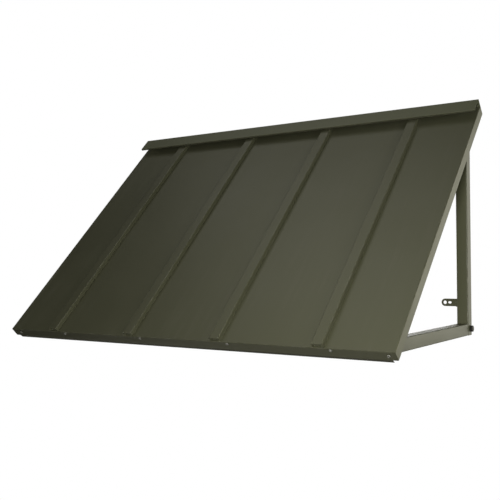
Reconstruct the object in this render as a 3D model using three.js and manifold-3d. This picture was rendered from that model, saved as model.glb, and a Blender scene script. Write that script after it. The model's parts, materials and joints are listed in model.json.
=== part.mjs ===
// Standing-seam metal awning: folded roof pans and seam caps on a square-tube frame that fixes to a wall.
// Millimetres. +X runs along the wall, +Y points into the wall and +Z is up.
// The origin is the middle of the wall rail's back face, which lies on the wall plane.
import * as THREE from 'three';
import { mergeVertices } from 'three/addons/utils/BufferGeometryUtils.js';
import Module from 'manifold-3d';

const wasm = await Module();
wasm.setup();

// Overall sizes
const awningWidth = 1118;
const panLength = 819; // along the slope
const postHeight = 571; // from a post's foot to the underside of the rafter at the wall
const roofSlope = THREE.MathUtils.degToRad(45);

// Clearances
const seat = 0.3; // between pieces that rest on or against each other
const holeClearance = 0.3; // between a fastener's shank and its hole, on the radius
const cutMargin = 1; // how far a cutting tool runs past the face it opens

// Square tube of the frame
const tubeSize = 30;
const tubeWall = 1.5;
const tubeInsideCorner = 0.8;
const frameInset = 35; // from the roof's side to the outer face of the end frame
const wallRailGap = 7; // below the rafters' undersides
const wallHoleDiameter = 8;
const wallHoleCount = 4;
const wallHolePitch = 290;

// Sheet metal of the roof
const sheet = 1;
const bendRadius = 0.8; // inside a fold
const seamCount = 4;
const seamPitch = 260;
const seamWidth = 27;
const seamHeight = 11.5; // above the pans
const flangeDepth = 25; // from the top of the end pans to the lower edge of their side flanges
const cornerTabWidth = 33;
const cornerTabReturn = 6; // the stretch of the corner tab that lies in the side flange
const cornerTabEdge = 2; // above the flange's lower edge and below the frame's top
const clipLength = 22;

// Head flashing
const flashingLeg = 48;
const flashingRise = 22; // above the pans
const flashingLip = 5.2;
const flashingScrewCount = 4;
const flashingScrewPitch = 272;
const flashingScrewDrop = 12; // below the frame's top

// Front fascia
const fasciaDepth = 25.7; // from the top of the pans to the fold of the drip lip
const fasciaFlange = 20;
const dripLip = 9.4;
const dripLipTurn = THREE.MathUtils.degToRad(12); // out of the fascia's plane, towards the wall
const dripLipNotch = 11.5; // short of the fascia's ends
const fasciaScrewCount = 4; // between the two end screws
const fasciaScrewPitch = 257;
const fasciaScrewShift = 31; // from the roof's middle to the middle of the row
const fasciaScrewDrop = 6.5; // below the top of the pans
const leftScrewInset = 29; // from the roof's sides to the end screws
const rightScrewInset = 17;
const endScrewDrop = 12.5;

// Self-drilling pan-head screws
const screwHeadDiameter = 7.6;
const screwHeadHeight = 2.6;
const screwHeadRim = 0.8;
const screwShankDiameter = 4.2;
const screwLength = 14;

// Arm joint: a tongue on the arm enters the post and is bolted through its sides
const tongueThickness = 5;
const tongueHeight = 20;
const tongueEndGap = 1.2;
const tonguePlate = 3;
const boltDiameter = 10;
const boltSetback = 11.5; // from the wall plane
const boltHeight = 17; // above a post's foot
const boltAcrossFlats = 16;
const boltHeadHeight = 6.4;
const boltChamfer = THREE.MathUtils.degToRad(30);
const boltTail = 3; // past the nut
const nutHeight = 8;

// Wall straps
const strapHeight = 83.5; // above a post's foot
const strapLength = 50; // along the wall, from the post's inner face
const strapLeg = 26; // along the post, from the wall plane
const strapWidth = 20;
const strapThickness = 3;
const strapBend = 2;
const strapHoleDiameter = 9.6;
const strapHoleInset = 9.5; // from the strap's round end to the hole's centre
const strapSlotLength = 9.5;
const strapSlotWidth = 6;
const strapSlotInset = 22.5; // from the strap's round end to the slot's centre
const strapScrewSetback = 16; // from the wall plane

// Fineness of round shapes
const bendSteps = 2;
const holeSteps = 12;
const headSteps = 4;
const turnSteps = 16;

// Finishes
const roofPaint = { color: 0x4b4b3d, roughness: 0.5, metalness: 0.1 };
const framePaint = { color: 0x46472f, roughness: 0.5, metalness: 0.1 };
const darkSteel = { color: 0x2b2b29, roughness: 0.45, metalness: 0.8 };
const zincSteel = { color: 0x8b8b80, roughness: 0.4, metalness: 0.8 };

// Derived places across the width
const roofSide = awningWidth / 2;
const frameOuter = roofSide - frameInset;
const frameMiddle = frameOuter - tubeSize / 2;
const frameInner = frameOuter - tubeSize;
const railLength = 2 * (frameInner - seat);
const seamPlaces = Array.from({ length: seamCount }, (_, i) => (i - (seamCount - 1) / 2) * seamPitch);

// Derived levels, measured square to the slope from the top of the rafters
const panTop = seat + sheet;
const panMiddle = seat + sheet / 2;
const flangeBottom = panTop - flangeDepth;
const capUnderside = panTop + seamHeight - sheet;
const fasciaBottom = panTop - fasciaDepth;

// Derived hole sizes
const screwHoleRadius = screwShankDiameter / 2 + holeClearance;
const boltHoleRadius = boltDiameter / 2 + holeClearance;

// Derived heights above the posts' feet
const wallRailHeight = postHeight - tubeSize * Math.tan(roofSlope) - wallRailGap - tubeSize / 2;

// The closed outline of a folded strip of sheet, from the corners of its middle line.
function foldedSheet(corners, thickness, insideRadius) {
  const half = thickness / 2;
  const middleRadius = insideRadius + half;
  const points = corners.map(([x, y]) => new THREE.Vector2(x, y));
  const headings = points.slice(1).map((point, i) => point.clone().sub(points[i]).normalize());
  const leftOf = (heading) => new THREE.Vector2(-heading.y, heading.x);
  const bends = headings.slice(1).map((after, i) => {
    const before = headings[i];
    const turn = Math.atan2(before.cross(after), before.dot(after));
    const side = Math.sign(turn);
    const setback = middleRadius * Math.tan(Math.abs(turn) / 2);
    const centre = points[i + 1].clone();
    centre.addScaledVector(before, -setback);
    centre.addScaledVector(leftOf(before), side * middleRadius);
    const start = leftOf(before).multiplyScalar(-side).angle();
    return { centre, side, start, end: start + turn };
  });
  const lastHeading = headings.at(-1);
  const firstLeft = points[0].clone().addScaledVector(leftOf(headings[0]), half);
  const firstRight = points[0].clone().addScaledVector(leftOf(headings[0]), -half);
  const lastLeft = points.at(-1).clone().addScaledVector(leftOf(lastHeading), half);
  const lastRight = points.at(-1).clone().addScaledVector(leftOf(lastHeading), -half);

  const outline = new THREE.Shape();
  outline.moveTo(firstRight.x, firstRight.y);
  outline.lineTo(firstLeft.x, firstLeft.y);
  for (const { centre, side, start, end } of bends) {
    outline.absarc(centre.x, centre.y, middleRadius - side * half, start, end, side < 0);
  }
  outline.lineTo(lastLeft.x, lastLeft.y);
  outline.lineTo(lastRight.x, lastRight.y);
  for (const { centre, side, start, end } of bends.toReversed()) {
    outline.absarc(centre.x, centre.y, middleRadius + side * half, end, start, side > 0);
  }
  outline.closePath();
  return outline;
}

function extrude(outline, length, curveSegments = bendSteps) {
  return new THREE.ExtrudeGeometry(outline, { depth: length, bevelEnabled: false, curveSegments });
}

// A section drawn across the roof, as width and height, is run down the slope from the head.
function runDownSlope(outline, length) {
  return extrude(outline, length).rotateX(Math.PI / 2);
}

// A section drawn along the slope is run across the roof, centred on its middle.
function runAcrossRoof(outline, length) {
  return extrude(outline, length).rotateX(Math.PI / 2).rotateZ(Math.PI / 2).translate(-length / 2, 0, 0);
}

function roundedSquare(path, size, radius) {
  const reach = size / 2 - radius;
  for (let corner = 0; corner < 4; corner += 1) {
    const start = (corner * Math.PI) / 2;
    const x = reach * Math.sign(Math.cos(start + Math.PI / 4));
    const y = reach * Math.sign(Math.sin(start + Math.PI / 4));
    path.absarc(x, y, radius, start, start + Math.PI / 2, false);
  }
  path.closePath();
  return path;
}

// An open square tube along +Z. Its far end is cut aslant where endSlope, its rise along Y, is given.
function squareTube(length, endSlope = 0) {
  const ring = roundedSquare(new THREE.Shape(), tubeSize, tubeInsideCorner + tubeWall);
  ring.holes.push(roundedSquare(new THREE.Path(), tubeSize - 2 * tubeWall, tubeInsideCorner));
  const geometry = extrude(ring, length, 1);
  const corners = geometry.getAttribute('position');
  for (let i = 0; i < corners.count; i += 1) {
    if (corners.getZ(i) > 0) {
      corners.setZ(i, corners.getZ(i) + endSlope * corners.getY(i));
    }
  }
  return geometry;
}

function boxBetween(low, high) {
  const size = high.map((value, i) => value - low[i]);
  const middle = high.map((value, i) => (value + low[i]) / 2);
  return new THREE.BoxGeometry(...size).translate(...middle);
}

function rodAlongX(radius, from, to, y, z) {
  const rod = new THREE.CylinderGeometry(radius, radius, to - from, holeSteps);
  return rod.rotateZ(Math.PI / 2).translate((from + to) / 2, y, z);
}

function rodAlongY(radius, from, to, x, z) {
  return new THREE.CylinderGeometry(radius, radius, to - from, holeSteps).translate(x, (from + to) / 2, z);
}

function solid(geometry) {
  const bare = geometry.clone();
  bare.deleteAttribute('normal');
  bare.deleteAttribute('uv');
  const welded = mergeVertices(bare);
  const vertProperties = new Float32Array(welded.getAttribute('position').array);
  const triVerts = new Uint32Array(welded.getIndex().array);
  return new wasm.Manifold(new wasm.Mesh({ numProp: 3, vertProperties, triVerts }));
}

function geometryOf(body) {
  const { vertProperties, triVerts } = body.getMesh();
  const geometry = new THREE.BufferGeometry();
  geometry.setAttribute('position', new THREE.BufferAttribute(vertProperties, 3));
  geometry.setIndex(new THREE.BufferAttribute(triVerts, 1));
  geometry.computeVertexNormals();
  return geometry;
}

function cut(geometry, tools) {
  return geometryOf(tools.reduce((body, tool) => body.subtract(solid(tool)), solid(geometry)));
}

function join(geometries) {
  return geometryOf(geometries.map(solid).reduce((body, other) => body.add(other)));
}

function addPiece(group, name, geometry, finish) {
  const piece = new THREE.Mesh(geometry, new THREE.MeshStandardMaterial(finish));
  piece.name = name;
  group.add(piece);
  return piece;
}

// Fascia screws: a row in the eave rail and, lower, one in the corner tab of each end pan.
const fasciaScrews = Array.from({ length: fasciaScrewCount }, (_, i) => ({
  x: fasciaScrewShift + (i - (fasciaScrewCount - 1) / 2) * fasciaScrewPitch,
  z: panTop - fasciaScrewDrop,
}));
fasciaScrews.unshift({ x: -roofSide + leftScrewInset, z: panTop - endScrewDrop });
fasciaScrews.push({ x: roofSide - rightScrewInset, z: panTop - endScrewDrop });

const fasciaScrewHoles = fasciaScrews.map(({ x, z }) => (
  rodAlongY(screwHoleRadius, -panLength - cutMargin, -panLength + screwLength + cutMargin, x, z)
));

// Flashing screws, driven down the slope into the head purlin.
const flashingScrews = Array.from({ length: flashingScrewCount }, (_, i) => ({
  x: (i - (flashingScrewCount - 1) / 2) * flashingScrewPitch,
  z: -flashingScrewDrop,
}));
const flashingBack = seat + sheet; // outer face of the back leg
const flashingScrewHoles = flashingScrews.map(({ x, z }) => (
  rodAlongY(screwHoleRadius, -screwLength, flashingBack + cutMargin, x, z)
));

// Roof, in a group turned to the slope: +Y points up the slope from the head of the pans,
// and +Z is square to it.
function buildRoof() {
  const roof = new THREE.Group();
  roof.position.set(0, -tubeSize * Math.sin(roofSlope), postHeight + tubeSize * Math.cos(roofSlope));
  roof.rotation.x = roofSlope;
  addRafters(roof);
  addPurlins(roof);
  addPans(roof);
  addSeams(roof);
  addFlashing(roof);
  addFascia(roof);
  return roof;
}

// The frame's front ends stand clear of the drip lip, which turns in below them.
const eaveRailTop = -sheet - seat; // leaves room for the fascia's flange
const fasciaBack = -panLength + sheet;
const lipReach = Math.max(fasciaBottom - (eaveRailTop - tubeSize), 0) * Math.tan(dripLipTurn);
const rafterLength = -fasciaBack - seat - lipReach;

function addRafters(roof) {
  for (const [name, hand] of [['left', -1], ['right', 1]]) {
    const tube = squareTube(rafterLength).rotateX(Math.PI / 2);
    tube.translate(hand * frameMiddle, 0, -tubeSize / 2);
    addPiece(roof, `${name}_rafter`, cut(tube, fasciaScrewHoles), framePaint);
  }
}

const headPurlinPlace = -tubeSize / 2;
const eaveRailPlace = -rafterLength + tubeSize / 2;
const midPurlinPlace = (headPurlinPlace + eaveRailPlace) / 2;

function tubeAlongX(y, z) {
  return squareTube(railLength).rotateY(Math.PI / 2).translate(-railLength / 2, y, z);
}

function addPurlins(roof) {
  const headPurlin = cut(tubeAlongX(headPurlinPlace, -tubeSize / 2), flashingScrewHoles);
  const eaveRail = cut(tubeAlongX(eaveRailPlace, eaveRailTop - tubeSize / 2), fasciaScrewHoles);
  addPiece(roof, 'head_purlin', headPurlin, framePaint);
  addPiece(roof, 'mid_purlin', tubeAlongX(midPurlinPlace, -tubeSize / 2), framePaint);
  addPiece(roof, 'eave_rail', eaveRail, framePaint);
}

// A pan's upturned leg stands just inside the seam cap's own leg.
const legReach = seamWidth / 2 - sheet - seat - sheet / 2; // from the seam's middle to the leg's
const legTop = capUnderside - bendRadius;

// The fold at the front of a side flange that lies behind the fascia's end.
function cornerTab(hand) {
  const flangeMiddle = roofSide - sheet / 2;
  const tabMiddle = fasciaBack + seat + sheet / 2;
  const outline = foldedSheet([
    [hand * flangeMiddle, tabMiddle + cornerTabReturn],
    [hand * flangeMiddle, tabMiddle],
    [hand * (flangeMiddle - cornerTabWidth), tabMiddle],
  ], sheet, bendRadius);
  const bottom = flangeBottom + cornerTabEdge;
  return extrude(outline, -cornerTabEdge - bottom).translate(0, 0, bottom);
}

function addPans(roof) {
  const panSides = [-roofSide, ...seamPlaces, roofSide];
  panSides.slice(1).forEach((rightSide, i) => {
    const atLeftEnd = i === 0;
    const atRightEnd = i === seamCount;
    const left = atLeftEnd ? -roofSide + sheet / 2 : panSides[i] + legReach;
    const right = atRightEnd ? roofSide - sheet / 2 : rightSide - legReach;
    const outline = foldedSheet([
      [left, atLeftEnd ? flangeBottom : legTop],
      [left, panMiddle],
      [right, panMiddle],
      [right, atRightEnd ? flangeBottom : legTop],
    ], sheet, bendRadius);
    let pan = runDownSlope(outline, panLength);
    if (atLeftEnd || atRightEnd) {
      const hand = atLeftEnd ? -1 : 1;
      pan = cut(join([pan, cornerTab(hand)]), fasciaScrewHoles);
    }
    addPiece(roof, `roof_pan_${i + 1}`, pan, roofPaint);
  });
}

// Each seam is an inverted channel over the legs of two pans, with clips on the purlins between the legs.
function addSeams(roof) {
  const capReach = seamWidth / 2 - sheet / 2;
  const capBottom = panTop + bendRadius + seat;
  const capMiddle = capUnderside + sheet / 2;
  const clipReach = legReach - sheet - seat;
  const clipTop = capUnderside - seat;
  seamPlaces.forEach((x, i) => {
    const capOutline = foldedSheet([
      [x - capReach, capBottom],
      [x - capReach, capMiddle],
      [x + capReach, capMiddle],
      [x + capReach, capBottom],
    ], sheet, bendRadius);
    addPiece(roof, `seam_cap_${i + 1}`, runDownSlope(capOutline, panLength), roofPaint);

    const clipOutline = foldedSheet([
      [x - clipReach, clipTop],
      [x - clipReach, panMiddle],
      [x + clipReach, panMiddle],
      [x + clipReach, clipTop],
    ], sheet, bendRadius);
    for (const [place, y] of [['head', headPurlinPlace], ['mid', midPurlinPlace]]) {
      const clip = runDownSlope(clipOutline, clipLength).translate(0, y + clipLength / 2, 0);
      addPiece(roof, `seam_clip_${place}_${i + 1}`, clip, zincSteel);
    }
  });
}

function addFlashing(roof) {
  const top = panTop + flashingRise;
  const lipMiddle = flashingBack - flashingLeg + sheet / 2;
  const backMiddle = flashingBack - sheet / 2;
  const outline = foldedSheet([
    [lipMiddle, top - flashingLip],
    [lipMiddle, top - sheet / 2],
    [backMiddle, top - sheet / 2],
    [backMiddle, flangeBottom],
  ], sheet, bendRadius);
  const flashing = cut(runAcrossRoof(outline, awningWidth), flashingScrewHoles);
  addPiece(roof, 'head_flashing', flashing, roofPaint);
  flashingScrews.forEach(({ x, z }, i) => {
    const screw = addPiece(roof, `flashing_screw_${i + 1}`, panScrew(), zincSteel);
    screw.rotation.x = -Math.PI / 2;
    screw.position.set(x, flashingBack + seat, z);
  });
}

// The fascia hangs between the side flanges. Its top flange runs only between the rafters,
// and its drip lip stops short of its ends.
function addFascia(roof) {
  const faceMiddle = -panLength + sheet / 2;
  const outline = foldedSheet([
    [faceMiddle + fasciaFlange, -sheet / 2],
    [faceMiddle, -sheet / 2],
    [faceMiddle, fasciaBottom],
    [faceMiddle + dripLip * Math.sin(dripLipTurn), fasciaBottom - dripLip * Math.cos(dripLipTurn)],
  ], sheet, bendRadius);
  const end = roofSide - sheet - seat;
  const lowest = fasciaBottom - dripLip - cutMargin;
  const highest = sheet + cutMargin;
  const notches = [];
  for (const hand of [-1, 1]) {
    const across = (from) => [hand * from, hand * (end + cutMargin)].sort((a, b) => a - b);
    const [flangeFrom, flangeTo] = across(frameInner - seat);
    const [lipFrom, lipTo] = across(end - dripLipNotch);
    const behind = fasciaBack + fasciaFlange + cutMargin;
    const flangeLevel = -sheet - bendRadius - cutMargin;
    notches.push(boxBetween([flangeFrom, fasciaBack, flangeLevel], [flangeTo, behind, highest]));
    notches.push(boxBetween([lipFrom, -panLength - dripLip, lowest], [lipTo, behind, fasciaBottom]));
  }
  const fascia = cut(runAcrossRoof(outline, 2 * end), [...notches, ...fasciaScrewHoles]);
  addPiece(roof, 'front_fascia', fascia, roofPaint);
  fasciaScrews.forEach(({ x, z }, i) => {
    const screw = addPiece(roof, `fascia_screw_${i + 1}`, panScrew(), zincSteel);
    screw.rotation.x = Math.PI / 2;
    screw.position.set(x, -panLength - seat, z);
  });
}

// A pan-head screw along Z, with its head above the origin and its point below.
function panScrew() {
  const shankRadius = screwShankDiameter / 2;
  const headRadius = screwHeadDiameter / 2;
  const profile = new THREE.Path();
  profile.moveTo(0, -screwLength);
  profile.lineTo(shankRadius, -screwLength + screwShankDiameter);
  profile.lineTo(shankRadius, 0);
  profile.lineTo(headRadius, 0);
  profile.lineTo(headRadius, screwHeadRim);
  profile.quadraticCurveTo(headRadius, screwHeadHeight, 0, screwHeadHeight);
  return new THREE.LatheGeometry(profile.getPoints(headSteps), turnSteps).rotateX(Math.PI / 2);
}

function hexagonPrism(acrossFlats, height) {
  const outline = new THREE.Shape();
  const cornerReach = acrossFlats / Math.sqrt(3);
  for (let corner = 0; corner < 6; corner += 1) {
    const angle = (corner * Math.PI) / 3;
    outline[corner === 0 ? 'moveTo' : 'lineTo'](cornerReach * Math.cos(angle), cornerReach * Math.sin(angle));
  }
  outline.closePath();
  return extrude(outline, height);
}

// A hexagon whose corners are turned off at its top face.
function chamferedHexagon(height) {
  const topRadius = boltAcrossFlats / 2;
  const cone = new THREE.CylinderGeometry(
    topRadius, topRadius + height / Math.tan(boltChamfer), height, turnSteps,
  ).rotateX(Math.PI / 2).translate(0, 0, height / 2);
  return solid(hexagonPrism(boltAcrossFlats, height)).intersect(solid(cone));
}

// Its head lies above the origin, along Z, and its shank below.
function hexBolt(shankLength) {
  const radius = boltDiameter / 2;
  const shank = new THREE.CylinderGeometry(radius, radius, shankLength + boltHeadHeight / 2, turnSteps)
    .rotateX(Math.PI / 2).translate(0, 0, (boltHeadHeight / 2 - shankLength) / 2);
  return geometryOf(chamferedHexagon(boltHeadHeight).add(solid(shank)));
}

function hexNut() {
  const boreLength = nutHeight + 2 * cutMargin;
  const bore = new THREE.CylinderGeometry(boltHoleRadius, boltHoleRadius, boreLength, turnSteps)
    .rotateX(Math.PI / 2).translate(0, 0, nutHeight / 2);
  return geometryOf(chamferedHexagon(nutHeight).subtract(solid(bore)));
}

// A post: square at its foot, cut to the slope under its rafter, with a slot for the arm's tongue.
function postGeometry(hand) {
  const length = postHeight - (Math.tan(roofSlope) * tubeSize) / 2 - seat / Math.cos(roofSlope);
  const middle = hand * frameMiddle;
  const tube = squareTube(length, Math.tan(roofSlope)).translate(middle, -tubeSize / 2, 0);
  const slotHalf = tongueThickness / 2 + holeClearance;
  const slotReach = tongueHeight / 2 + holeClearance;
  const slot = boxBetween(
    [middle - slotHalf, -tubeSize - cutMargin, boltHeight - slotReach],
    [middle + slotHalf, -tubeSize + tubeWall + cutMargin, boltHeight + slotReach],
  );
  const boltHole = rodAlongX(boltHoleRadius, middle - tubeSize, middle + tubeSize, -boltSetback, boltHeight);
  const innerWall = [hand * (frameInner - cutMargin), hand * (frameInner + tubeWall + cutMargin)];
  const strapScrewHole = rodAlongX(
    screwHoleRadius, Math.min(...innerWall), Math.max(...innerWall), -strapScrewSetback, strapHeight,
  );
  return cut(tube, [slot, boltHole, strapScrewHole]);
}

// An arm: level, butted to its post with a bolted tongue and cut to the slope under its rafter.
function armGeometry(hand) {
  const run = (postHeight - tubeSize / 2) / Math.tan(roofSlope);
  const length = run - tubeSize - seat - seat / Math.sin(roofSlope);
  const middle = hand * frameMiddle;
  const tube = squareTube(length, -1 / Math.tan(roofSlope)).rotateX(Math.PI / 2);
  tube.translate(middle, -tubeSize - seat, tubeSize / 2);
  const plateReach = tubeSize / 2 - tubeWall / 2;
  const plateFront = -tubeSize - seat - tonguePlate;
  const plate = boxBetween(
    [middle - plateReach, plateFront, tubeSize / 2 - plateReach],
    [middle + plateReach, -tubeSize - seat, tubeSize / 2 + plateReach],
  );
  const tongue = boxBetween(
    [middle - tongueThickness / 2, plateFront, boltHeight - tongueHeight / 2],
    [middle + tongueThickness / 2, -tubeWall - tongueEndGap, boltHeight + tongueHeight / 2],
  );
  const boltHole = rodAlongX(
    boltHoleRadius, middle - tongueThickness, middle + tongueThickness, -boltSetback, boltHeight,
  );
  return cut(join([tube, plate, tongue]), [boltHole]);
}

// A wall strap, bent from flat bar: one leg lies on the post's inner face and the other on the wall.
// It is drawn for the right-hand post, from the corner of that post's inner face and the wall plane.
function strapGeometry() {
  const legMiddle = -seat - strapThickness / 2;
  const bar = extrude(foldedSheet([
    [legMiddle, -strapLeg],
    [legMiddle, -strapThickness / 2],
    [-strapLength, -strapThickness / 2],
  ], strapThickness, strapBend), strapWidth).translate(0, 0, -strapWidth / 2);

  const half = strapWidth / 2;
  const face = new THREE.Shape();
  face.moveTo(0, -half);
  face.lineTo(0, half);
  face.absarc(-strapLength + half, 0, half, Math.PI / 2, (3 * Math.PI) / 2, false);
  face.closePath();
  const slotHalf = strapSlotWidth / 2;
  const slotMiddle = -strapLength + strapSlotInset;
  const slotReach = strapSlotLength / 2 - slotHalf;
  const slot = new THREE.Path();
  slot.absarc(slotMiddle - slotReach, 0, slotHalf, Math.PI / 2, (3 * Math.PI) / 2, false);
  slot.absarc(slotMiddle + slotReach, 0, slotHalf, -Math.PI / 2, Math.PI / 2, false);
  slot.closePath();
  face.holes.push(slot);
  const punch = extrude(face, strapLeg + 2 * cutMargin, holeSteps / 2).rotateX(Math.PI / 2);
  punch.translate(0, cutMargin, 0);

  const roundHole = rodAlongY(
    strapHoleDiameter / 2, -strapThickness - cutMargin, cutMargin, -strapLength + strapHoleInset, 0,
  );
  const legInner = -strapThickness - seat - cutMargin;
  const screwHole = rodAlongX(screwHoleRadius, legInner, cutMargin, -strapScrewSetback, 0);
  return cut(geometryOf(solid(bar).intersect(solid(punch))), [roundHole, screwHole]);
}

function addEndFrame(frame, name, hand) {
  addPiece(frame, `${name}_post`, postGeometry(hand), framePaint);
  addPiece(frame, `${name}_arm`, armGeometry(hand), framePaint);

  const strap = addPiece(frame, `${name}_wall_strap`, strapGeometry(), framePaint);
  strap.rotation.y = hand > 0 ? 0 : Math.PI;
  strap.position.set(hand * frameInner, 0, strapHeight);

  const strapScrew = addPiece(frame, `${name}_strap_screw`, panScrew(), zincSteel);
  strapScrew.rotation.y = (-hand * Math.PI) / 2;
  strapScrew.position.set(hand * (frameInner - strapThickness - 2 * seat), -strapScrewSetback, strapHeight);

  const boltReach = tubeSize + 2 * seat + nutHeight + boltTail;
  const bolt = addPiece(frame, `${name}_arm_bolt`, hexBolt(boltReach), darkSteel);
  bolt.rotation.y = (hand * Math.PI) / 2;
  bolt.position.set(hand * (frameOuter + seat), -boltSetback, boltHeight);

  const nut = addPiece(frame, `${name}_arm_nut`, hexNut(), darkSteel);
  nut.rotation.y = (-hand * Math.PI) / 2;
  nut.position.set(hand * (frameInner - seat), -boltSetback, boltHeight);
}

// The wall rail ties the posts together and takes the upper wall screws.
function addWallRail(frame) {
  const holes = Array.from({ length: wallHoleCount }, (_, i) => {
    const x = (i - (wallHoleCount - 1) / 2) * wallHolePitch;
    return rodAlongY(wallHoleDiameter / 2, -tubeSize - cutMargin, cutMargin, x, wallRailHeight);
  });
  addPiece(frame, 'wall_rail', cut(tubeAlongX(-tubeSize / 2, wallRailHeight), holes), framePaint);
}

const awning = new THREE.Group();
awning.position.z = -wallRailHeight;
awning.add(buildRoof());
addEndFrame(awning, 'left', -1);
addEndFrame(awning, 'right', 1);
addWallRail(awning);

export default awning;
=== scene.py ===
import bpy, bmesh, json, math
from mathutils import Matrix, Vector


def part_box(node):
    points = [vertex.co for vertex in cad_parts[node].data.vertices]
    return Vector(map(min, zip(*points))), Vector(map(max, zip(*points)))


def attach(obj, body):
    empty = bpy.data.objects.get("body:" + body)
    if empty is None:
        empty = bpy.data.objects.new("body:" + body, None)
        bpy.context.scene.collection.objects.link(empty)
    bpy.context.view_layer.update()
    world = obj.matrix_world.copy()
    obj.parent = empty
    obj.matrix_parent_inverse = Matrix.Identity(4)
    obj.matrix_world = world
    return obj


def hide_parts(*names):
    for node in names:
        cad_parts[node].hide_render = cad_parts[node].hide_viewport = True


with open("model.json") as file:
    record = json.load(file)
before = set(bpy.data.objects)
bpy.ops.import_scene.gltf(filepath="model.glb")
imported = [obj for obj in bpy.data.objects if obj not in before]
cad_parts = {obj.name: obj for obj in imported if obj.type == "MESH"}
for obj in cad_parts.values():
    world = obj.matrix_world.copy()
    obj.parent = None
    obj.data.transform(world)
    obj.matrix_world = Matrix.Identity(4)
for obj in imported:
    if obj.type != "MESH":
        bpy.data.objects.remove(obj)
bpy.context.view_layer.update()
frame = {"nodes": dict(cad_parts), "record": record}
nodes = frame["nodes"]
scene = bpy.context.scene
print("frame:", len(nodes), "nodes")

# where the roof lies: x across, y up the slope from the head of the pans, z square to the pans
roof = {"slope": math.radians(45), "length": 0.819, "seams": [-0.390, -0.130, 0.130, 0.390]}
tube = {"size": 0.030, "middle": 0.509, "inner": 0.494, "outer": 0.524}
footLevel = -0.519  # underside of the posts and arms
postHeight = 0.571
roofHead = Vector((0, -tube["size"] * math.sin(roof["slope"]),
                   footLevel + postHeight + tube["size"] * math.cos(roof["slope"])))
roofPlace = Matrix.Translation(roofHead) @ Matrix.Rotation(roof["slope"], 4, "X")


def onRoof(x, y, z):
    return roofPlace @ Vector((x, y, z))


def newObject(name, data):
    thing = bpy.data.objects.new(name, data)
    scene.collection.objects.link(thing)
    return thing


# node helpers
def put(tree, kind, **settings):
    node = tree.nodes.new(kind)
    for key, value in settings.items():
        setattr(node, key, value)
    return node


def wire(tree, source, target):
    tree.links.new(source, target)


def setInputs(node, **values):
    for key, value in values.items():
        node.inputs[key].default_value = value


def mathNode(tree, operation, a, b=None, clamp=False):
    node = put(tree, "ShaderNodeMath", operation=operation, use_clamp=clamp)
    for socket, value in zip(node.inputs, (a, b)):
        if value is None:
            continue
        if isinstance(value, (int, float)):
            socket.default_value = value
        else:
            wire(tree, value, socket)
    return node.outputs[0]


def mapRange(tree, value, low, high, toLow=0.0, toHigh=1.0):
    node = put(tree, "ShaderNodeMapRange", interpolation_type="SMOOTHSTEP")
    wire(tree, value, node.inputs["Value"])
    for key, number in (("From Min", low), ("From Max", high), ("To Min", toLow), ("To Max", toHigh)):
        node.inputs[key].default_value = number
    return node.outputs["Result"]


def mixColour(tree, factor, a, b):
    node = put(tree, "ShaderNodeMix", data_type="RGBA")
    for socket, value in ((node.inputs[0], factor), (node.inputs[6], a), (node.inputs[7], b)):
        if isinstance(value, tuple):
            socket.default_value = value
        else:
            wire(tree, value, socket)
    return node.outputs[2]


def noise(tree, vector, scale, detail, rough):
    node = put(tree, "ShaderNodeTexNoise")
    setInputs(node, Scale=scale, Detail=detail, Roughness=rough)
    wire(tree, vector, node.inputs["Vector"])
    return node.outputs["Fac"]


def newGroup(name, inputs, outputs, kind="ShaderNodeTree"):
    tree = bpy.data.node_groups.new(name, kind)
    for label, socketKind, value in inputs:
        socket = tree.interface.new_socket(label, in_out="INPUT", socket_type=socketKind)
        if value is not None:
            socket.default_value = value
    for label, socketKind in outputs:
        tree.interface.new_socket(label, in_out="OUTPUT", socket_type=socketKind)
    return tree, tree.nodes.new("NodeGroupInput"), tree.nodes.new("NodeGroupOutput")


def newMaterial(name):
    material = bpy.data.materials.new(name)
    material.use_nodes = True
    tree = material.node_tree
    tree.nodes.clear()
    return material, tree, put(tree, "ShaderNodeOutputMaterial")


# powder coat: slow cloudy tone, fine speckle and the orange-peel skin
coatGrain = {"cloudScale": 7.0, "speckleScale": 900.0, "skinScale": 620.0, "roughSwing": 0.14}


def buildPowderCoat():
    tree, gin, gout = newGroup("powderCoat", [
        ("Vector", "NodeSocketVector", None),
        ("Paint", "NodeSocketColor", (0.05, 0.05, 0.03, 1)),
        ("Cloud Amount", "NodeSocketFloat", 0.1),
        ("Speckle Amount", "NodeSocketFloat", 0.06),
        ("Roughness", "NodeSocketFloat", 0.42),
    ], [("Color", "NodeSocketColor"), ("Roughness", "NodeSocketFloat"), ("Skin", "NodeSocketFloat")])
    vector = gin.outputs["Vector"]
    cloud = mathNode(tree, "SUBTRACT", noise(tree, vector, coatGrain["cloudScale"], 4.0, 0.5), 0.5)
    speckle = mathNode(tree, "SUBTRACT", noise(tree, vector, coatGrain["speckleScale"], 2.0, 0.6), 0.5)
    skin = noise(tree, vector, coatGrain["skinScale"], 1.5, 0.5)
    tone = mathNode(tree, "ADD",
                    mathNode(tree, "MULTIPLY", cloud, gin.outputs["Cloud Amount"]),
                    mathNode(tree, "MULTIPLY", speckle, gin.outputs["Speckle Amount"]))
    lift = mathNode(tree, "ADD", tone, 1.0)
    scaled = put(tree, "ShaderNodeVectorMath", operation="SCALE")
    wire(tree, gin.outputs["Paint"], scaled.inputs[0])
    wire(tree, lift, scaled.inputs["Scale"])
    wire(tree, scaled.outputs[0], gout.inputs["Color"])
    rough = mathNode(tree, "ADD", gin.outputs["Roughness"],
                     mathNode(tree, "MULTIPLY", cloud, coatGrain["roughSwing"]))
    wire(tree, rough, gout.inputs["Roughness"])
    wire(tree, skin, gout.inputs["Skin"])
    return tree


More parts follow.
